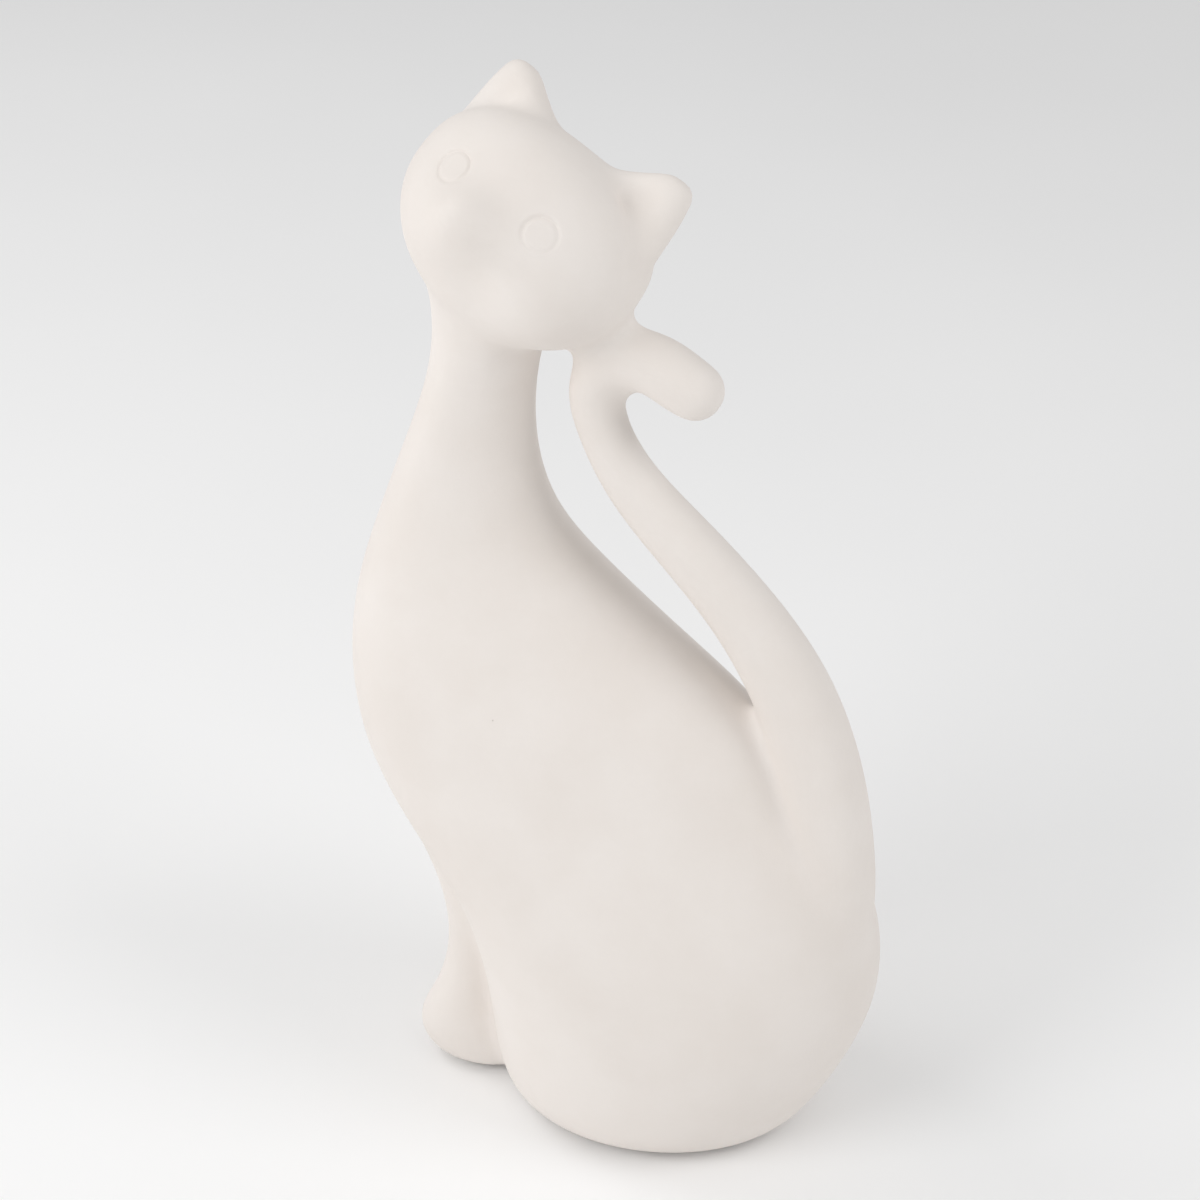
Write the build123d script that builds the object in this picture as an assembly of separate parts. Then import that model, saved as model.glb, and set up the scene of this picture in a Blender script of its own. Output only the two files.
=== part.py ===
"""Seated cat figurine in matte slip-cast stoneware, standing on four felt pads.

The body, the head and the tail are separate castings, luted together with slip.
Frame: +X is the way the chest faces, +Y is the cat's left, +Z is up. The origin is on
the surface that the figurine stands on, under the middle of its box. Millimetres.
"""
import os
from math import cos, exp, pi, radians, sin

from build123d import *

# ------------------------------------------------------------------ driving dimensions
WALL = 4.0                # cast wall of the body
HEAD_WALL = 3.8           # cast wall of the head
SLIP = 0.6                # thickness of each luting layer
PAD_THICKNESS = 1.2       # felt pads, which carry the castings
SECTION_POINTS = 16       # points round one section of the torso

# Torso and neck, as level sections: height, half-width, back, front, egg.
# egg narrows the back of a section and widens its chest side by that fraction.
TORSO = (
    (0.0, 22.0, -37.0, 14.2, 0.05),
    (2.5, 24.9, -40.3, 16.2, 0.05),
    (7.0, 27.1, -43.4, 17.5, 0.06),
    (14.0, 28.8, -47.0, 18.3, 0.08),
    (28.0, 30.0, -51.8, 20.5, 0.10),
    (44.0, 29.4, -51.4, 27.0, 0.14),
    (58.0, 27.8, -45.0, 37.0, 0.20),
    (70.0, 25.6, -37.6, 43.1, 0.28),
    (80.0, 23.2, -31.4, 44.8, 0.38),
    (90.0, 20.4, -18.8, 44.7, 0.38),
    (100.0, 17.3, -4.4, 42.9, 0.30),
    (110.0, 14.3, 6.9, 39.7, 0.22),
    (120.0, 11.8, 11.5, 36.1, 0.18),
    (130.0, 10.2, 12.6, 32.4, 0.14),
    (140.0, 9.6, 11.6, 29.7, 0.08),
    (148.0, 9.8, 9.5, 29.3, 0.05),
    (156.0, 10.6, 6.5, 29.9, 0.0),
)
CAVITY_FLOOR = 4.5        # inside bottom of the body
CAVITY_TOP = 156.0        # the neck bore ends inside the hollow head
BORE_NARROWEST = 5.2      # least half-width of the neck bore

# Front legs, the left one as level sections: height, back, front, half-width.
LEG = (
    (0.0, 12.0, 29.6, 5.6),
    (1.2, 12.0, 31.6, 6.5),
    (4.0, 13.0, 33.1, 7.1),
    (8.0, 14.4, 32.6, 7.0),
    (12.0, 15.6, 30.7, 6.5),
    (17.0, 16.4, 28.6, 5.8),
    (24.0, 16.8, 27.0, 5.2),
    (33.0, 16.6, 27.3, 5.2),
    (43.0, 17.0, 30.2, 6.2),
    (53.0, 18.5, 34.9, 7.4),
    (63.0, 20.0, 38.6, 8.2),
)
LEG_SPREAD = 6.9          # from the middle plane to the middle of a leg

# Tail, in the middle plane: x, z, radius, from inside the rump to the hooked tip.
TAIL = (
    (-42.0, 38.0, 8.0),
    (-43.6, 50.0, 7.9),
    (-43.0, 62.0, 7.6),
    (-40.6, 75.0, 7.3),
    (-34.8, 89.8, 6.8),
    (-25.1, 103.1, 5.9),
    (-13.9, 113.9, 5.3),
    (-5.5, 122.4, 4.7),
    (-0.7, 130.7, 4.4),
    (0.6, 137.5, 4.6),
    (-2.0, 142.9, 4.9),
    (-8.4, 144.2, 5.0),
    (-16.8, 140.6, 4.9),
)
TIP_LEVELS = (0.35, 0.65, 0.86, 0.97)   # shares of its radius that round off the tip
TAIL_ROOT = (-29.3, 0.0, 98.0)     # where the tail casting is luted to its stub
TAIL_ROOT_TILT = 36.0             # degrees from upright that the tail leaves the stub at

# Head, in its own frame: x towards the face, y towards its left ear, z towards its crown.
HEAD_CENTRE = (12.2, 2.0, 164.0)
FACE_AZIMUTH = 90.6       # degrees from the chest's direction towards the cat's left
FACE_LIFT = 37.5          # degrees that the face looks up
HEAD_ROLL = 25.8          # degrees that the crown leans over the left shoulder
SKULL_HALF_WIDTH = 22.0
SKULL_DEPTH_RATIO = 0.82  # front-to-back over side-to-side
SKULL_BELOW = 17.6        # from the middle of the skull down to its lowest point
SKULL_ABOVE = 16.4        # and up to the crown
CROWN_FLATNESS = 2.7      # 2 would be a round crown
MUZZLE_REACH = 4.4        # how far the muzzle stands out of the face
MUZZLE_HEIGHT = -6.6
MUZZLE_TALL = 6.0
MUZZLE_WIDE = 0.42        # radians round the skull
SKULL_LEVELS = (-0.985, -0.9, -0.72, -0.45, -0.2, 0.05, 0.3, 0.55, 0.76, 0.91, 0.985)
SKULL_POINTS = 32         # points round one level of the skull
EYE_SPACING = 19.2
EYE_HEIGHT = 0.6
EYE_RADIUS = 2.7
EYE_GROOVE = 0.35         # radius of the engraved ring round each eye

# One ear, as level sections: height, inner edge, outer edge, half-thickness.
EAR = (
    (6.0, 2.0, 21.0, 5.2),
    (10.0, 2.2, 21.4, 4.9),
    (13.8, 3.4, 21.2, 4.4),
    (16.4, 6.8, 20.9, 3.9),
    (18.6, 10.8, 20.5, 3.3),
    (20.2, 13.2, 20.0, 2.5),
    (21.2, 15.2, 18.8, 1.3),
)
EAR_LEAN = 3.0            # degrees that an ear's tip leans forward
EAR_DISH_RADIUS = 8.5     # ball that hollows the front of an ear
EAR_DISH_CENTRE = (10.9, 15.4, 14.4)

NECK_SEAM = 138.0         # height of the joint between body and head
VENT_RADIUS = 5.0         # pouring and firing hole in the base
VENT_PLACE = (-12.0, 0.0)
PAD_RADIUS = 4.0
PAD_PLACES = {
    "paw_left": (22.8, 7.0),
    "paw_right": (22.8, -7.0),
    "rear_left": (-24.0, 12.0),
    "rear_right": (-24.0, -12.0),
}
TAIL_TOUCH = (-4.6, 0.0, 143.9)    # middle of the tail where it touches the head
TAIL_TOUCH_RADIUS = 4.9
TAIL_TOUCH_GRIP = 0.6     # depth of the flat on the tail there
TOUCH_DAB = (2.2, 3.6)    # half-width and half-length of the dab of slip there
TOUCH_SPAN = 14.0         # size of the blocks that cut the flats there
TOUCH_DEPTH = 8.0
ORIGIN_SHIFT = 3.9        # brings the middle of the figurine's box over the origin
SLAB = 200.0              # size of the blocks that cut at the joints


# ------------------------------------------------------------------ shapes
def egg_section(height, half_width, back, front, egg, inset=0.0):
    """A level closed section, wider towards the chest, drawn in by inset all round."""
    middle = (back + front) / 2
    half_length = (front - back) / 2 - inset
    width = half_width - inset
    points = []
    for step in range(SECTION_POINTS):
        angle = 2 * pi * step / SECTION_POINTS
        x = middle + half_length * cos(angle)
        y = width * sin(angle) * (1 + egg * cos(angle))
        points.append((x, y, height))
    return make_face(Spline(*points, periodic=True))


def torso_and_neck():
    """The solid outer shape of haunches, chest and neck."""
    return loft([egg_section(*section) for section in TORSO])


def cavity():
    """The hollow left by the cast wall, from the foot up through the neck."""
    sections = []
    for height, half_width, back, front, egg in TORSO:
        if CAVITY_FLOOR <= height <= CAVITY_TOP:
            inset = min(WALL, half_width - BORE_NARROWEST)
            sections.append(egg_section(height, half_width, back, front, egg, inset))
    return loft(sections)


def front_leg(side):
    """One front leg and its paw, side 1 for the left one and -1 for the right one."""
    sections = []
    for height, back, front, half_width in LEG:
        place = Plane(origin=((back + front) / 2, side * LEG_SPREAD, height))
        sections.append(place * Ellipse((front - back) / 2, half_width))
    return loft(sections)


def tail_disc(x, z, radius, direction):
    return Plane(origin=(x, 0, z), x_dir=(0, 1, 0), z_dir=direction) * Circle(radius)


def tail_tube():
    """The whole tail, from inside the rump to the round end of its hook."""
    last = len(TAIL) - 1
    discs = []
    for index, (x, z, radius) in enumerate(TAIL):
        before = TAIL[max(index - 1, 0)]
        after = TAIL[min(index + 1, last)]
        along = Vector(after[0] - before[0], 0, after[1] - before[1]).normalized()
        discs.append(tail_disc(x, z, radius, along))
    for level in TIP_LEVELS:
        end = Vector(x, 0, z) + along * radius * level
        discs.append(tail_disc(end.X, end.Z, radius * (1 - level ** 2) ** 0.5, along))
    return loft(discs)


def head_plane():
    """The head's own frame: looking over the left shoulder, up, and leaning."""
    azimuth, lift, roll = radians(FACE_AZIMUTH), radians(FACE_LIFT), radians(HEAD_ROLL)
    face = Vector(cos(azimuth) * cos(lift), sin(azimuth) * cos(lift), sin(lift))
    level_left = Vector(-sin(azimuth), cos(azimuth), 0)
    level_up = face.cross(level_left)
    left = level_left * cos(roll) - level_up * sin(roll)
    return Plane(origin=HEAD_CENTRE, x_dir=face, z_dir=face.cross(left))


def skull_width(level):
    """Half-width of the skull at a level from -1, its lowest point, to 1, the crown."""
    power = CROWN_FLATNESS if level > 0 else 2
    return SKULL_HALF_WIDTH * (1 - abs(level) ** power) ** 0.5


def skull_section(level, inset):
    """One level of the skull, with the muzzle as a soft swelling of its front."""
    height = level * ((SKULL_ABOVE if level > 0 else SKULL_BELOW) - inset)
    width = skull_width(level) * (1 - inset / SKULL_HALF_WIDTH)
    fade = exp(-((height - MUZZLE_HEIGHT) / MUZZLE_TALL) ** 2)
    points = []
    for step in range(SKULL_POINTS):
        angle = 2 * pi * step / SKULL_POINTS
        off_front = min(angle, 2 * pi - angle) / MUZZLE_WIDE
        reach = MUZZLE_REACH * fade * exp(-off_front ** 2) if inset == 0 else 0
        depth = SKULL_DEPTH_RATIO * width + reach
        points.append((depth * cos(angle), width * sin(angle), height))
    return make_face(Spline(*points, periodic=True))


def skull(inset=0.0):
    """The head without its ears, drawn in by inset all round."""
    return loft([skull_section(level, inset) for level in SKULL_LEVELS])


def ear(side):
    """One ear, side 1 for the left one and -1 for the right one."""
    sections = []
    for height, inner, outer, half_thickness in EAR:
        place = Plane(origin=(0, side * (inner + outer) / 2, height))
        sections.append(place * Ellipse(half_thickness, (outer - inner) / 2))
    x, y, z = EAR_DISH_CENTRE
    dish = Pos(x, side * y, z) * Sphere(EAR_DISH_RADIUS)
    return Rotation(0, EAR_LEAN, 0) * (loft(sections) - dish)


def eye_ring(side):
    """The engraved ring round one eye, lying on the skull."""
    y = side * EYE_SPACING / 2
    x = SKULL_DEPTH_RATIO * (SKULL_HALF_WIDTH ** 2 - y ** 2) ** 0.5
    outward = (x / SKULL_DEPTH_RATIO ** 2, y, 0)
    return Plane(origin=(x, y, EYE_HEIGHT), z_dir=outward) * Torus(EYE_RADIUS, EYE_GROOVE)


def whole_head():
    """The solid head with its ears and eyes, in place on the neck."""
    shape = skull()
    for side in (1, -1):
        shape += ear(side)
    for side in (1, -1):
        shape -= eye_ring(side)
    return head_plane().location * shape


def block(plane):
    """A large block on the far side of a plane."""
    corner = (Align.CENTER, Align.CENTER, Align.MIN)
    return plane.location * Box(SLAB, SLAB, SLAB, align=corner)


def touch_plane():
    """The face of the tail where it is luted to the head."""
    toward_head = (Vector(*HEAD_CENTRE) - Vector(*TAIL_TOUCH)).normalized()
    origin = Vector(*TAIL_TOUCH) + toward_head * (TAIL_TOUCH_RADIUS - TAIL_TOUCH_GRIP)
    return Plane(origin=origin, x_dir=(0, 1, 0), z_dir=toward_head)


def touch_block(align):
    """A small block that reaches only as far as the touching surfaces do."""
    return Box(TOUCH_SPAN, TOUCH_SPAN, TOUCH_DEPTH, align=(Align.CENTER, Align.CENTER, align))


# ------------------------------------------------------------------ pieces
def make_pieces():
    """Every piece by its node name, standing on the plane of the castings' foot."""
    torso = torso_and_neck()
    hollow = cavity()
    tail = tail_tube()

    tilt = radians(TAIL_ROOT_TILT)
    stub_face = Plane(origin=TAIL_ROOT, x_dir=(0, 1, 0), z_dir=(sin(tilt), 0, cos(tilt)))
    above_stub = block(stub_face)
    above_root_slip = block(stub_face.offset(SLIP))
    touch = touch_plane()
    above_touch = touch.location * touch_block(Align.MIN)
    below_head = touch.offset(SLIP).location * touch_block(Align.MAX)

    above_neck = block(Plane(origin=(0, 0, NECK_SEAM)))
    above_ring = block(Plane(origin=(0, 0, NECK_SEAM + SLIP)))

    body = torso + (tail - above_stub)
    for side in (1, -1):
        body += front_leg(side)
    body = body - hollow - above_neck
    body -= Pos(*VENT_PLACE, 0) * Cylinder(VENT_RADIUS, 3 * CAVITY_FLOOR)

    ring = (torso & above_neck) - above_ring - hollow
    head = whole_head() + (torso & above_ring)
    head = head - hollow - head_plane().location * skull(HEAD_WALL) - below_head

    tail_casting = (tail & above_root_slip) - above_touch
    root_disc = (tail & above_stub) - above_root_slip
    dab = touch.location * extrude(Ellipse(*TOUCH_DAB), SLIP)

    pieces = {
        "body_casting": body,
        "head_casting": head,
        "tail_casting": tail_casting,
        "neck_luting_slip": ring,
        "tail_root_luting_slip": root_disc,
        "tail_tip_luting_slip": dab,
    }
    for name, (x, y) in PAD_PLACES.items():
        felt = Cylinder(PAD_RADIUS, PAD_THICKNESS, align=(Align.CENTER, Align.CENTER, Align.MAX))
        pieces["felt_pad_" + name] = Pos(x, y, 0) * felt
    return pieces


def main():
    os.makedirs("parts", exist_ok=True)
    for name, shape in make_pieces().items():
        stood = Pos(ORIGIN_SHIFT, 0, PAD_THICKNESS) * shape
        stood.label = name
        export_step(stood, f"parts/{name}.step")


if __name__ == "__main__":
    main()
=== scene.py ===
"""Seated cat figurine in matte, unglazed stoneware, on felt pads.

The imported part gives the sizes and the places. Here its castings get one soft skin, with the
rounded inside corners that wet slip leaves and a more finely modelled face, and that skin is
then cut into the same pieces at the same joints. Metres, in the part's own frame.
"""

from math import cos, pi, radians, sin

import bmesh
import bpy
import numpy as np
import openvdb
from mathutils import Matrix, Vector
from mathutils import noise as noise_fields


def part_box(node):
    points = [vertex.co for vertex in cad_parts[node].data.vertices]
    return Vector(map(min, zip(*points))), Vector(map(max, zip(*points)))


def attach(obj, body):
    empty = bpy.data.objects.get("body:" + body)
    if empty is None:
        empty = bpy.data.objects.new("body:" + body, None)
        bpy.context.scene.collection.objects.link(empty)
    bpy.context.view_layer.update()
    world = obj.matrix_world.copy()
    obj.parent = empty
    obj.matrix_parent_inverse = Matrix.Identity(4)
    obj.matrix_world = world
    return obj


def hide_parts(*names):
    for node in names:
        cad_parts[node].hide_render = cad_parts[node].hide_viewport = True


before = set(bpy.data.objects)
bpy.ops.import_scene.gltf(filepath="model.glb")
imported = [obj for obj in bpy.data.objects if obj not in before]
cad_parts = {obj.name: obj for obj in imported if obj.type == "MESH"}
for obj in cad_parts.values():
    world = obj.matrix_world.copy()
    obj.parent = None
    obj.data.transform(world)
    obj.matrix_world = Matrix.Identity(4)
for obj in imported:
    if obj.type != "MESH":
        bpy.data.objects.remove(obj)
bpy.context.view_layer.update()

MM = 0.001

# ------------------------------------------------------------------ values of the part
CASTINGS = ("body_casting", "head_casting", "tail_casting")
LAYERS = ("neck_luting_slip", "tail_root_luting_slip", "tail_tip_luting_slip")
PADS = (
    "felt_pad_paw_left",
    "felt_pad_paw_right",
    "felt_pad_rear_left",
    "felt_pad_rear_right",
)
VENT_PLACE = (-8.1 * MM, 0.0)      # pouring hole in the foot of the body
VENT_RADIUS = 5.0 * MM
HEAD_CENTRE = Vector((16.1, 2.0, 165.2)) * MM
FACE_AZIMUTH = radians(90.6)       # the face looks over the left shoulder,
FACE_LIFT = radians(37.5)          # looks up,
HEAD_ROLL = radians(25.8)          # and the crown leans
SKULL_HALF_WIDTH = 22.0 * MM
SKULL_DEPTH_RATIO = 0.82
EYE_RADIUS = 2.7 * MM
EYES = (                           # how far left and up in mm, and how worn its lower half is
    (10.6, 0.7, 0.75),
    (-7.6, 0.7, 0.15),
)
EYE_TURN = 0.2                     # how far the engraver leaned to the left of the face
EYE_GROOVE_DEPTH = 0.38 * MM
EYE_GROOVE_WIDTH = 0.36 * MM
EYE_CUTS = 3                       # new points along each edge of the skin near an eye
EYE_SMOOTHINGS = 4                 # passes that even out those points
FACING = 0.3                       # least share of a normal along the way the eye looks

# ------------------------------------------------------------------ the skin
VOXEL = 0.72 * MM                  # size of the steps that the skin is worked out in
FILLET = 1.1 * MM                  # ball that rolls along every inside corner
BLEND_DEPTH = 6.0 * MM             # how far out of the clay the distances are kept
BAND = 4                           # voxels either side of the surface that the skin needs
SOFTENINGS = 2                     # passes that take the steps out of the skin
SOFT_PLACES = (                    # where slip lies thicker: ball, middle and reach, in mm
    (16.0, (29.0, 10.0, 149.0), 14.0),      # throat and jaw
    (3.0, (3.0, 0.0, 148.0), 7.0),          # tail and jaw
    (3.0, (-1.5, 0.0, 138.0), 6.0),         # inside of the tail's hook
    (2.2, (-1.0, 1.0, 171.0), 14.0),        # foot of the left ear
    (2.2, (23.0, -5.0, 180.0), 14.0),       # foot of the right ear
)
SHARP_ANGLE = radians(38)          # faces that meet more steeply than this keep their edge
SLIVER = 0.02 * MM                 # edges shorter than this are closed up after the cuts
TOUCHING = 0.01 * MM               # points nearer a plane than this lie on it
DRAW_OUT = 2 * MM                  # how far a hollow is drawn out past its open end
PLUG_DEPTH = 3 * MM
PLUG_OVERSIZE = 1.2                # the plug over the pouring hole
LAYER_REACH = {                    # half-size of the cut that each layer of slip fills
    "neck_luting_slip": 13.0 * MM,
    "tail_root_luting_slip": 10.0 * MM,
    "tail_tip_luting_slip": 8.0 * MM,
}
# Soft hollows and swellings of the head: how far forward, left and up of its middle each
# lies, how far it reaches and how far it stands out, in mm.
HEAD_TOUCHES = (
    ((20.0, 0.0, -4.5), 4.5, 1.5),          # muzzle
    ((13.5, 5.5, -12.5), 8.0, -2.8),        # beside the chin
    ((13.0, 14.0, -7.0), 7.0, 0.6),         # left cheek
    ((4.5, 13.6, 13.2), 2.4, -1.5),         # left ear, where the dish begins
    ((4.2, 16.5, 9.5), 2.4, -1.1),          # left ear, along the dish
    ((4.0, 20.0, 5.5), 2.6, -0.8),          # left ear, lower end of the dish
    ((3.5, 18.0, 13.5), 2.5, 0.5),          # left ear, middle of the dish
    ((3.8, -15.5, 15.0), 2.2, -1.0),        # right ear
)


def head_axes():
    """The head's own directions: towards the face, its left ear and its crown."""
    face = Vector((
        cos(FACE_AZIMUTH) * cos(FACE_LIFT),
        sin(FACE_AZIMUTH) * cos(FACE_LIFT),
        sin(FACE_LIFT),
    ))
    level_left = Vector((-sin(FACE_AZIMUTH), cos(FACE_AZIMUTH), 0))
    level_up = face.cross(level_left)
    left = level_left * cos(HEAD_ROLL) - level_up * sin(HEAD_ROLL)
    return face, left, face.cross(left)


def mesh_arrays(obj):
    """The points and triangles of a mesh."""
    mesh = obj.data
    mesh.calc_loop_triangles()
    points = np.empty(len(mesh.vertices) * 3, np.float32)
    mesh.vertices.foreach_get("co", points)
    triangles = np.empty(len(mesh.loop_triangles) * 3, np.int32)
    mesh.loop_triangles.foreach_get("vertices", triangles)
    return points.reshape(-1, 3), triangles.reshape(-1, 3).astype(np.uint32)


def new_object(name, mesh):
    obj = bpy.data.objects.new(name, mesh)
    bpy.context.scene.collection.objects.link(obj)
    return obj


def object_from_bmesh(name, bm):
    mesh = bpy.data.meshes.new(name)
    bm.to_mesh(mesh)
    bm.free()
    return new_object(name, mesh)


def remove(obj):
    bpy.data.objects.remove(obj, do_unlink=True)


def vent_plug():
    """A short plug that closes the pouring hole while the skin is made."""
    bm = bmesh.new()
    radius = PLUG_OVERSIZE * VENT_RADIUS
    bmesh.ops.create_cone(
        bm, cap_ends=True, segments=32, radius1=radius, radius2=radius, depth=PLUG_DEPTH
    )
    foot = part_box("body_casting")[0].z
    bmesh.ops.translate(bm, vec=(*VENT_PLACE, foot + PLUG_DEPTH / 2), verts=bm.verts)
    return object_from_bmesh("vent_plug", bm)


def castings_together():
    """The castings, their layers of slip and the plug as one set of points and triangles."""
    plug = vent_plug()
    all_points, all_triangles, count = [], [], 0
    for obj in [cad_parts[name] for name in CASTINGS + LAYERS] + [plug]:
        points, triangles = mesh_arrays(obj)
        all_points.append(points)
        all_triangles.append(triangles + np.uint32(count))
        count += len(points)
    remove(plug)
    return np.concatenate(all_points), np.concatenate(all_triangles)


def level_set(points, faces, voxel, inner, outer):
    """Signed distance to a closed surface, true as far as inner and outer on its two sides."""
    kind = "triangles" if faces.shape[1] == 3 else "quads"
    return openvdb.FloatGrid.createLevelSetFromPolygons(
        points,
        transform=openvdb.createLinearTransform(voxelSize=voxel),
        exBandWidth=outer / voxel + 3,
        inBandWidth=inner / voxel + 3,
        **{kind: faces},
    )


def filleted(points, faces, voxel, radius, low, size):
    """Distances on a block of voxels after a ball has rolled along all inside corners."""
    swollen, quads = level_set(points, faces, voxel, 0, radius).convertToQuads(radius)
    grid = level_set(swollen, quads, voxel, radius, BLEND_DEPTH)
    values = np.empty(size, np.float32)
    grid.copyToArray(values, ijk=low)
    return values + radius


def doubled(values):
    """A field on voxels of half the size, with straight lines between the old values."""
    for axis in range(3):
        ahead = np.roll(values, -1, axis)
        both = np.stack([values, (values + ahead) / 2], axis + 1)
        shape = list(values.shape)
        shape[axis] *= 2
        values = both.reshape(shape)
    return values


def blur(values, passes):
    """Softens a field with a small even kernel along each axis."""
    for _ in range(passes):
        for axis in range(3):
            ahead = np.roll(values, 1, axis)
            behind = np.roll(values, -1, axis)
            values = (ahead + 2 * values + behind) / 4
    return values


def make_skin(points, triangles, voxel):
    """The whole ceramic surface as one closed mesh of quads."""
    limit = BAND * voxel
    low = [2 * int((c - limit) / (2 * voxel)) - 2 for c in points.min(0)]
    high = [2 * int((c + limit) / (2 * voxel)) + 2 for c in points.max(0)]
    size = [b - a for a, b in zip(low, high)]
    half_low = [n // 2 for n in low]
    half_size = [n // 2 for n in size]
    x, y, z = (
        ((np.arange(n) + start) * voxel).reshape([-1 if a == axis else 1 for a in range(3)])
        for axis, (n, start) in enumerate(zip(size, low))
    )
    field = filleted(points, triangles, voxel, FILLET, low, size)
    for ball, (cx, cy, cz), reach in SOFT_PLACES:
        soft = filleted(points, triangles, 2 * voxel, ball * MM, half_low, half_size)
        apart = (x - cx * MM) ** 2 + (y - cy * MM) ** 2 + (z - cz * MM) ** 2
        share = np.exp(-apart ** 2 / (reach * MM) ** 4)
        field = field + share * np.minimum(doubled(soft) - field, 0)
    field = np.clip(field, -limit, limit)
    field = blur(field, SOFTENINGS)
    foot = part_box("body_casting")[0].z
    field = np.maximum(field, foot - z)
    grid = openvdb.FloatGrid(limit)
    grid.copyFromArray(field.astype(np.float32), ijk=low)
    grid.transform = openvdb.createLinearTransform(voxelSize=voxel)
    points, quads = grid.convertToQuads(0)
    return sculpted(points.astype(float)), quads


def sculpted(points):
    """Points of the skin moved out or in around the head."""
    axes = np.array(head_axes())
    middle = np.array(HEAD_CENTRE)
    for place, reach, push in HEAD_TOUCHES:
        spot = middle + np.array(place) * MM @ axes
        share = np.exp(-((points - spot) ** 2).sum(1) / (reach * MM) ** 2)
        outward = points - middle
        outward /= np.linalg.norm(outward, axis=1)[:, None]
        points = points + outward * (share * push * MM)[:, None]
    return points


def skin_object(name, points, quads):
    mesh = bpy.data.meshes.new(name)
    mesh.from_pydata(points.tolist(), [], quads.tolist())
    obj = new_object(name, mesh)
    bm = bmesh.new()
    bm.from_mesh(mesh)
    bmesh.ops.recalc_face_normals(bm, faces=bm.faces)
    bm.to_mesh(mesh)
    bm.free()
    return obj


# ------------------------------------------------------------------ cutting
def cut(obj, other, operation):
    """Applies one Boolean operation to obj."""
    modifier = obj.modifiers.new("cut", "BOOLEAN")
    modifier.operation = operation
    modifier.object = other
    modifier.solver = "MANIFOLD"
    graph = bpy.context.evaluated_depsgraph_get()
    mesh = bpy.data.meshes.new_from_object(obj.evaluated_get(graph))
    obj.modifiers.clear()
    obj.data = mesh


def layer_block(name):
    """The flat block between two castings that a layer of slip fills."""
    points = mesh_arrays(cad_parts[name])[0].astype(float)
    flattest = np.linalg.svd(points - points.mean(0), full_matrices=False)[2][2]
    across = Vector(flattest)
    along = points @ flattest
    thickness = along.max() - along.min()
    middle = Vector((points.max(0) + points.min(0)) / 2)
    middle += across * ((along.max() + along.min()) / 2 - middle.dot(across))
    side = (Vector((0, 1, 0)) - across * across.y).normalized()
    turn = Matrix((side, across.cross(side), across)).transposed().to_4x4()
    reach = LAYER_REACH[name]
    size = Matrix.Diagonal((2 * reach, 2 * reach, thickness, 1))
    bm = bmesh.new()
    bmesh.ops.create_cube(bm, size=1, matrix=Matrix.Translation(middle) @ turn @ size)
    return object_from_bmesh(name + "_block", bm)


def islands(bm):
    """The separate surfaces of a mesh, each as a list of faces, the largest first."""
    left = set(bm.faces)
    found = []
    while left:
        seed = left.pop()
        group, waiting = [seed], [seed]
        while waiting:
            face = waiting.pop()
            for corner in face.verts:
                for near in corner.link_faces:
                    if near in left:
                        left.discard(near)
                        group.append(near)
                        waiting.append(near)
        found.append(group)
    return sorted(found, key=len, reverse=True)


def loose_parts(obj):
    """A copy of each separate solid in obj."""
    bm = bmesh.new()
    bm.from_mesh(obj.data)
    bm.faces.ensure_lookup_table()
    groups = [{f.index for f in group} for group in islands(bm)]
    bm.free()
    parts = []
    for keep in groups:
        bm = bmesh.new()
        bm.from_mesh(obj.data)
        bm.faces.ensure_lookup_table()
        gone = [f for f in bm.faces if f.index not in keep]
        bmesh.ops.delete(bm, geom=gone, context="FACES")
        parts.append(object_from_bmesh("part", bm))
    return parts


def casting_hollow(node, seam_z, way):
    """The hollow of a casting as a closed solid, drawn out past its open ends.

    seam_z is the height of the open end at the neck, and way the direction out of it.
    """
    bm = bmesh.new()
    bm.from_mesh(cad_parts[node].data)
    bmesh.ops.remove_doubles(bm, verts=bm.verts, dist=TOUCHING / 10)
    rim = [f for f in bm.faces if all(abs(v.co.z - seam_z) < TOUCHING for v in f.verts)]
    bmesh.ops.delete(bm, geom=rim, context="FACES")
    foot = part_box(node)[0].z
    vent = Vector((*VENT_PLACE, foot))
    round_vent = {
        v for v in bm.verts
        if abs(v.co.z - foot) < TOUCHING
        and abs((v.co - vent).length - VENT_RADIUS) < 10 * TOUCHING
    }
    vent_edges = [e for e in bm.edges if all(v in round_vent for v in e.verts)]
    bmesh.ops.split_edges(bm, edges=vent_edges)
    outer = islands_by_width(bm)[0]
    bmesh.ops.delete(bm, geom=outer, context="FACES")
    for edges in open_loops(bm):
        drawn = bmesh.ops.extrude_edge_only(bm, edges=edges)["geom"]
        ends = [g for g in drawn if isinstance(g, bmesh.types.BMVert)]
        outward = way if abs(ends[0].co.z - seam_z) < TOUCHING else -1
        bmesh.ops.translate(bm, vec=(0, 0, outward * DRAW_OUT), verts=ends)
        tops = [g for g in drawn if isinstance(g, bmesh.types.BMEdge)]
        bmesh.ops.contextual_create(bm, geom=tops)
    bmesh.ops.triangulate(bm, faces=[f for f in bm.faces if len(f.verts) > 4])
    bmesh.ops.recalc_face_normals(bm, faces=bm.faces)
    hollow = object_from_bmesh(node + "_hollow", bm)
    # normals kept from the CAD mesh would show as dark lines along the joint at the neck
    kept = hollow.data.attributes.get("custom_normal")
    if kept is not None:
        hollow.data.attributes.remove(kept)
    return hollow


def width_of(faces):
    xs = [v.co.x for f in faces for v in f.verts]
    return max(xs) - min(xs)


def islands_by_width(bm):
    """The separate surfaces of a mesh, the widest first."""
    return sorted(islands(bm), key=width_of, reverse=True)


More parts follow.
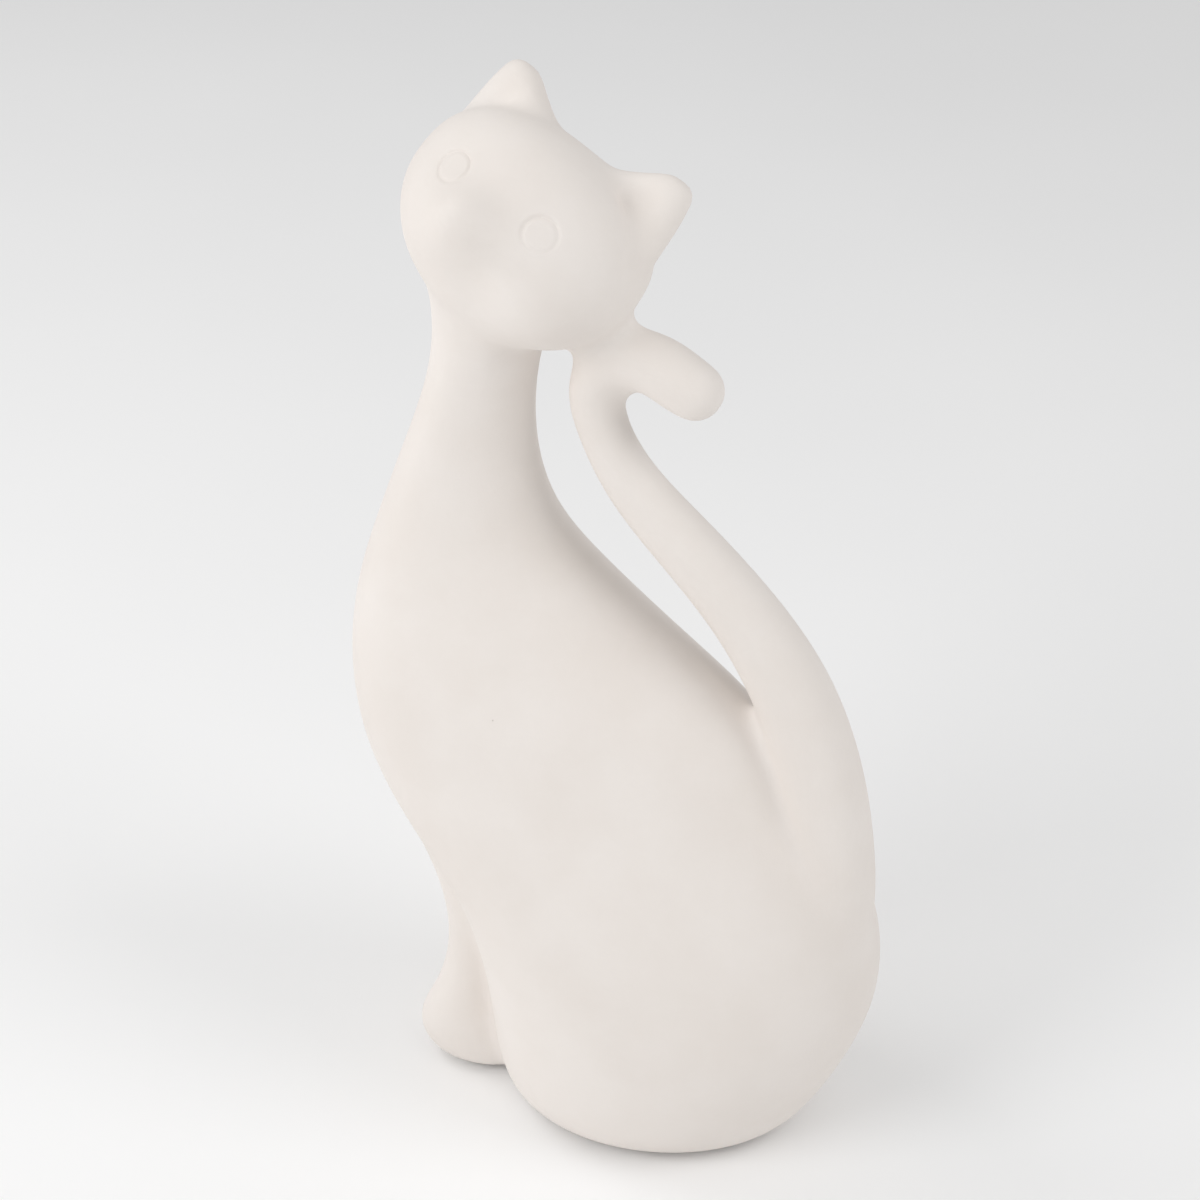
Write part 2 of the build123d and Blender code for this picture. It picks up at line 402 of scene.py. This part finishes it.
def open_loops(bm):
    """The open edges of a mesh, loop by loop."""
    left = {e for e in bm.edges if e.is_boundary}
    loops = []
    while left:
        loop, waiting = [], [left.pop()]
        while waiting:
            edge = waiting.pop()
            loop.append(edge)
            for corner in edge.verts:
                for near in corner.link_edges:
                    if near in left:
                        left.discard(near)
                        waiting.append(near)
        loops.append(loop)
    return loops


# ------------------------------------------------------------------ the pieces
def finished(obj, name, node, material):
    """Names a piece, smooths its shading and says what it stands for."""
    obj.name = name
    obj.data.name = name
    obj.data.shade_smooth()
    obj.data.set_sharp_from_angle(angle=SHARP_ANGLE)
    obj.data.materials.clear()
    obj.data.materials.append(material)
    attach(obj, "root")
    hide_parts(node)


def centre_of(obj):
    points = mesh_arrays(obj)[0]
    return Vector(((points.max(0) + points.min(0)) / 2).tolist())


def box_centre(node):
    low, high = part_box(node)
    return (low + high) / 2


def nearest_part(parts, node):
    return min(parts, key=lambda part: (centre_of(part) - box_centre(node)).length)


def without_slivers(obj):
    """Closes up the needle-thin faces that the cuts leave."""
    bm = bmesh.new()
    bm.from_mesh(obj.data)
    bmesh.ops.dissolve_degenerate(bm, edges=bm.edges, dist=SLIVER)
    bm.to_mesh(obj.data)
    bm.free()


def copy_of(obj):
    twin = obj.copy()
    twin.data = obj.data.copy()
    bpy.context.scene.collection.objects.link(twin)
    return twin


def eye_axis(left_mm, up_mm):
    """Where an eye lies on the skull, and the direction that it looks in."""
    face, left, crown = head_axes()
    y = left_mm * MM
    x = SKULL_DEPTH_RATIO * (SKULL_HALF_WIDTH ** 2 - y ** 2) ** 0.5
    middle = HEAD_CENTRE + face * x + left * y + crown * up_mm * MM
    return middle, (face + left * EYE_TURN).normalized()


def points_near(bm, middle, outward, reach):
    """The points close to a place on the outer side of the wall."""
    return [
        v for v in bm.verts
        if (v.co - middle).length < reach and v.normal.dot(outward) > FACING
    ]


def refine(bm, middle, outward, reach):
    """Divides the faces near a place finely, and evens out the new points."""
    inside = set(points_near(bm, middle, outward, reach))
    edges = [e for e in bm.edges if all(v in inside for v in e.verts)]
    bmesh.ops.subdivide_edges(bm, edges=edges, cuts=EYE_CUTS, use_grid_fill=True)
    bm.normal_update()
    core = points_near(bm, middle, outward, reach)
    for _ in range(EYE_SMOOTHINGS):
        bmesh.ops.smooth_vert(
            bm, verts=core, factor=0.5, use_axis_x=True, use_axis_y=True, use_axis_z=True
        )
    bm.normal_update()
    return core


def engrave_eyes(obj):
    """Presses the ring round each eye into the clay, fainter where it is worn."""
    bm = bmesh.new()
    bm.from_mesh(obj.data)
    bm.normal_update()
    for left_mm, up_mm, wear in EYES:
        middle, outward = eye_axis(left_mm, up_mm)
        for v in refine(bm, middle, outward, 2 * EYE_RADIUS):
            arm = v.co - middle
            arm -= outward * arm.dot(outward)
            off_ring = (arm.length - EYE_RADIUS) / EYE_GROOVE_WIDTH
            depth = EYE_GROOVE_DEPTH * (1 - wear * (0.5 - 0.5 * arm.normalized().z))
            v.co -= outward * depth * np.exp(-off_ring ** 2)
    bm.to_mesh(obj.data)
    bm.free()


# ------------------------------------------------------------------ finishes
# Scales of noise are in repeats per metre.
CLAY_LIGHT = (0.86, 0.81, 0.77, 1)
CLAY_DARK = (0.83, 0.775, 0.73, 1)
SLIP_LIGHT = (0.863, 0.813, 0.773, 1)
SLIP_DARK = (0.833, 0.778, 0.733, 1)
CLAY_ROUGHNESS = (0.62, 0.74)
MOTTLE_SCALE = 55
SPECK_SCALE = 900
SPECK_STRENGTH = 0.10
SPECK_COLOUR = (0.70, 0.64, 0.58, 1)
GLOSS_SCALE = 240
GRAIN_SCALE = 2600
GRAIN_HEIGHT = 0.06 * MM
WAVE_SCALE = 130
WAVE_HEIGHT = 0.35 * MM
PINHOLE_SCALE = 75
PINHOLE_SIZE = 0.018               # radius of the largest, as a share of a cell
PINHOLE_RARITY = 0.55              # share of the cells without a pinhole
# painted shade: the pinholes are darkened in colour as well as pressed in by a bump
PINHOLE_SHADE_STRENGTH = 0.35
PINHOLE_SHADE_COLOUR = (0.35, 0.30, 0.25, 1)
PINHOLE_DEPTH = 0.15 * MM
FIBRE_SCALE = 2200
FIBRE_HEIGHT = 0.3 * MM
CLUMP_SCALE = 420
FELT_DARK = (0.40, 0.38, 0.35, 1)
FELT_LIGHT = (0.66, 0.64, 0.60, 1)


def new_material(name):
    material = bpy.data.materials.new(name)
    material.use_nodes = True
    tree = material.node_tree
    return material, tree, tree.nodes["Principled BSDF"]


def noise(tree, coordinates, scale, detail, roughness=0.5):
    node = tree.nodes.new("ShaderNodeTexNoise")
    node.inputs["Scale"].default_value = scale
    node.inputs["Detail"].default_value = detail
    node.inputs["Roughness"].default_value = roughness
    tree.links.new(coordinates, node.inputs["Vector"])
    return node.outputs["Fac"]


def object_coordinates(tree):
    return tree.nodes.new("ShaderNodeTexCoord").outputs["Object"]


def ramp(tree, factor, stops):
    """Turns a factor into a colour between two stops."""
    node = tree.nodes.new("ShaderNodeValToRGB")
    for element, (place, colour) in zip(node.color_ramp.elements, stops):
        element.position = place
        element.color = colour
    tree.links.new(factor, node.inputs["Fac"])
    return node.outputs["Color"]


def maths(tree, operation, first, second):
    node = tree.nodes.new("ShaderNodeMath")
    node.operation = operation
    for socket, value in zip(node.inputs, (first, second)):
        if isinstance(value, (int, float)):
            socket.default_value = value
        else:
            tree.links.new(value, socket)
    return node.outputs["Value"]


def mixed(tree, factor, first, second):
    node = tree.nodes.new("ShaderNodeMix")
    node.data_type = "RGBA"
    for name, value in (("Factor", factor), ("A", first), ("B", second)):
        socket = [s for s in node.inputs if s.name == name and s.enabled][0]
        if isinstance(value, (int, float, tuple)):
            socket.default_value = value
        else:
            tree.links.new(value, socket)
    return [s for s in node.outputs if s.enabled][0]


def bump(tree, height, strength, distance, normal=None):
    node = tree.nodes.new("ShaderNodeBump")
    node.inputs["Strength"].default_value = strength
    node.inputs["Distance"].default_value = distance
    tree.links.new(height, node.inputs["Height"])
    if normal is not None:
        tree.links.new(normal, node.inputs["Normal"])
    return node.outputs["Normal"]


def grey(value):
    return (value, value, value, 1)


def pinholes(tree, where):
    """A mask that is 1 inside a few scattered pinholes and 0 elsewhere."""
    cells = tree.nodes.new("ShaderNodeTexVoronoi")
    cells.inputs["Scale"].default_value = PINHOLE_SCALE
    tree.links.new(where, cells.inputs["Vector"])
    spread = tree.nodes.new("ShaderNodeSeparateColor")
    tree.links.new(cells.outputs["Color"], spread.inputs["Color"])
    hole_size = maths(tree, "MULTIPLY", spread.outputs["Red"], PINHOLE_SIZE)
    inside = maths(tree, "LESS_THAN", cells.outputs["Distance"], hole_size)
    chosen = maths(tree, "GREATER_THAN", spread.outputs["Green"], PINHOLE_RARITY)
    return maths(tree, "MULTIPLY", inside, chosen)


def stoneware(name, light, dark):
    """Warm white clay fired without a glaze: faint mottling, fine grain and a few pinholes, each
    darkened with painted shade.
    """
    material, tree, shader = new_material(name)
    where = object_coordinates(tree)
    mottle = noise(tree, where, MOTTLE_SCALE, 4)
    colour = ramp(tree, mottle, ((0.35, dark), (0.65, light)))
    speck = maths(tree, "MULTIPLY", noise(tree, where, SPECK_SCALE, 3, 0.7), SPECK_STRENGTH)
    colour = mixed(tree, speck, colour, SPECK_COLOUR)
    hole = pinholes(tree, where)
    # painted shade inside each pinhole, mixed into the clay colour
    colour = mixed(tree, maths(tree, "MULTIPLY", hole, PINHOLE_SHADE_STRENGTH), colour, PINHOLE_SHADE_COLOUR)
    tree.links.new(colour, shader.inputs["Base Color"])
    smoothest, roughest = CLAY_ROUGHNESS
    patches = noise(tree, where, GLOSS_SCALE, 2)
    gloss = ramp(tree, patches, ((0.3, grey(smoothest)), (0.7, grey(roughest))))
    tree.links.new(gloss, shader.inputs["Roughness"])
    shader.inputs["Specular IOR Level"].default_value = 0.35
    grain = noise(tree, where, GRAIN_SCALE, 2, 0.6)
    waves = noise(tree, where, WAVE_SCALE, 2)
    normal = bump(tree, waves, 0.12, WAVE_HEIGHT)
    normal = bump(tree, grain, 0.22, GRAIN_HEIGHT, normal)
    pits = maths(tree, "SUBTRACT", 1.0, hole)
    normal = bump(tree, pits, 0.8, PINHOLE_DEPTH, normal)
    tree.links.new(normal, shader.inputs["Normal"])
    return material


def felt():
    """Pressed wool felt, off-white, with loose fibres over it."""
    material, tree, shader = new_material("felt")
    where = object_coordinates(tree)
    fibres = maths(tree, "MULTIPLY", noise(tree, where, FIBRE_SCALE, 6, 0.75), 0.7)
    clumps = maths(tree, "MULTIPLY", noise(tree, where, CLUMP_SCALE, 3), 0.3)
    tone = maths(tree, "ADD", fibres, clumps)
    colour = ramp(tree, tone, ((0.3, FELT_DARK), (0.7, FELT_LIGHT)))
    tree.links.new(colour, shader.inputs["Base Color"])
    shader.inputs["Roughness"].default_value = 0.95
    shader.inputs["Specular IOR Level"].default_value = 0.15
    shader.inputs["Sheen Weight"].default_value = 0.25
    tree.links.new(bump(tree, tone, 0.7, FIBRE_HEIGHT), shader.inputs["Normal"])
    return material


# ------------------------------------------------------------------ studio
CAMERA_AZIMUTH = radians(115)
CAMERA_ELEVATION = radians(30)
CAMERA_DISTANCE = 0.480
CAMERA_TARGET = Vector((0.0039, 0.0, 0.0992))
LENS = 84.96
SENSOR_WIDTH = 36
NEAREST_SEEN = 0.01
SOFTBOX_SIZE = 0.5
SOFTBOX_DISTANCE = 0.8
SOFTBOXES = (                      # azimuth and elevation in degrees, power in watts
    ("chest_light", 0, 40, 1.1),
    ("face_light", 60, 29, 2.05),
    ("tail_light", 180, 40, 1.5),
)
SKY_STRENGTH = 0.55
FLOOR_HALF_WIDTH = 6
FLOOR_DARK = 0.95
FLOOR_LIGHT = 0.97
FLOOR_SCALE = 6


def aimed(obj, place, target):
    """Puts a camera or light at a place and points it at the target."""
    obj.location = place
    obj.rotation_euler = (target - place).to_track_quat("-Z", "Y").to_euler()


def make_camera():
    """The camera, which looks at the cat's left side from a little behind and from above."""
    away = Vector((
        cos(CAMERA_ELEVATION) * cos(CAMERA_AZIMUTH),
        cos(CAMERA_ELEVATION) * sin(CAMERA_AZIMUTH),
        sin(CAMERA_ELEVATION),
    ))
    camera = bpy.data.objects.new("camera", bpy.data.cameras.new("camera"))
    camera.data.lens = LENS
    camera.data.sensor_width = SENSOR_WIDTH
    camera.data.clip_start = NEAREST_SEEN
    bpy.context.scene.collection.objects.link(camera)
    aimed(camera, CAMERA_TARGET + away * CAMERA_DISTANCE, CAMERA_TARGET)
    bpy.context.scene.camera = camera


def softbox(name, azimuth, elevation, power):
    """A round softbox that faces the figurine."""
    light = bpy.data.lights.new(name, "AREA")
    light.shape = "DISK"
    light.size = SOFTBOX_SIZE
    light.energy = power
    obj = bpy.data.objects.new(name, light)
    bpy.context.scene.collection.objects.link(obj)
    level = Vector((cos(azimuth), sin(azimuth), 0)) * cos(elevation)
    away = level + Vector((0, 0, sin(elevation)))
    aimed(obj, CAMERA_TARGET + away * SOFTBOX_DISTANCE, CAMERA_TARGET)


def make_studio():
    """Three softboxes round the figurine and an even white sky."""
    for name, azimuth, elevation, power in SOFTBOXES:
        softbox(name, radians(azimuth), radians(elevation), power)
    world = bpy.data.worlds.new("studio")
    world.use_nodes = True
    sky = world.node_tree.nodes["Background"]
    sky.inputs["Color"].default_value = grey(1)
    sky.inputs["Strength"].default_value = SKY_STRENGTH
    bpy.context.scene.world = world
    bpy.context.scene.view_settings.view_transform = "Standard"


def make_floor():
    """A plain, pale floor, far wider than the picture."""
    bm = bmesh.new()
    bmesh.ops.create_grid(bm, x_segments=1, y_segments=1, size=FLOOR_HALF_WIDTH)
    floor = object_from_bmesh("floor", bm)
    material, tree, shader = new_material("floor")
    clouds = noise(tree, object_coordinates(tree), FLOOR_SCALE, 2)
    tone = ramp(tree, clouds, ((0.3, grey(FLOOR_DARK)), (0.7, grey(FLOOR_LIGHT))))
    tree.links.new(tone, shader.inputs["Base Color"])
    shader.inputs["Roughness"].default_value = 0.9
    floor.data.materials.append(material)


# ------------------------------------------------------------------ making
PAD_RINGS = 10                     # rings of faces on each flat side of a pad
PAD_POINTS = 72                    # points round a ring
PAD_FLAT = 0.93                    # share of the radius that is flat
PAD_EDGE = (                       # shares of the radius and of the height round the edge
    (0.985, 0.12),
    (1.0, 0.3),
    (1.0, 0.7),
    (0.985, 0.88),
)
FIBRE_WOBBLE = 0.05 * MM           # how uneven the rim of a pad is
WOBBLE_SCALE = 1500                # repeats per metre


def pad_ring(bm, middle, radius, height):
    """One ring of points of a felt disc, drawn in a little here and there by its fibres."""
    ring = []
    for step in range(PAD_POINTS):
        angle = 2 * pi * step / PAD_POINTS
        flat = Vector((cos(angle), sin(angle), 0))
        place = Vector((
            middle.x + radius * cos(angle),
            middle.y + radius * sin(angle),
            height,
        ))
        wobble = noise_fields.noise(place * WOBBLE_SCALE) * FIBRE_WOBBLE
        ring.append(bm.verts.new(place - flat * abs(wobble)))
    return ring


def felt_pad(node):
    """One pressed felt disc with a rounded edge and an uneven rim."""
    low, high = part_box(node)
    middle = (low + high) / 2
    radius = (high.x - low.x) / 2
    flats = [ring / PAD_RINGS * PAD_FLAT for ring in range(1, PAD_RINGS + 1)]
    profile = [(share, 0.0) for share in flats]
    profile += PAD_EDGE
    profile += [(share, 1.0) for share in reversed(flats)]
    bm = bmesh.new()
    rings = [
        pad_ring(bm, middle, out * radius, low.z + up * (high.z - low.z))
        for out, up in profile
    ]
    for a, b in zip(rings, rings[1:]):
        for step in range(PAD_POINTS):
            after = (step + 1) % PAD_POINTS
            bm.faces.new((a[step], a[after], b[after], b[step]))
    for ring, z in ((rings[0], low.z), (rings[-1], high.z)):
        hub = bm.verts.new((middle.x, middle.y, z))
        for step in range(PAD_POINTS):
            bm.faces.new((ring[step], ring[(step + 1) % PAD_POINTS], hub))
    bmesh.ops.recalc_face_normals(bm, faces=bm.faces)
    return object_from_bmesh(node + "_felt", bm)


def make_figurine():
    """Every piece of the figurine, in place of its CAD node."""
    body_clay = stoneware("bisque", CLAY_LIGHT, CLAY_DARK)
    slip_clay = stoneware("luting_slip", SLIP_LIGHT, SLIP_DARK)
    blocks = {name: layer_block(name) for name in LAYERS}
    skin = skin_object("skin", *make_skin(*castings_together(), VOXEL))
    neck_low, neck_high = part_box("neck_luting_slip")
    hollows = {
        "body_casting": casting_hollow("body_casting", neck_low.z, 1),
        "head_casting": casting_hollow("head_casting", neck_high.z, -1),
    }
    for name, block in blocks.items():
        layer = copy_of(block)
        cut(layer, skin, "INTERSECT")
        if name == "neck_luting_slip":
            cut(layer, hollows["body_casting"], "DIFFERENCE")
        without_slivers(layer)
        finished(layer, name + "_skin", name, slip_clay)
    for block in blocks.values():
        cut(skin, block, "DIFFERENCE")
    parts = loose_parts(skin)
    for node in CASTINGS:
        part = nearest_part(parts, node)
        parts.remove(part)
        if node in hollows:
            cut(part, hollows[node], "DIFFERENCE")
        without_slivers(part)
        if node == "head_casting":
            engrave_eyes(part)
        finished(part, node + "_skin", node, body_clay)
    for obj in (skin, *parts, *blocks.values(), *hollows.values()):
        remove(obj)
    wool = felt()
    for node in PADS:
        finished(felt_pad(node), node + "_disc", node, wool)


make_camera()
make_studio()
make_floor()
make_figurine()
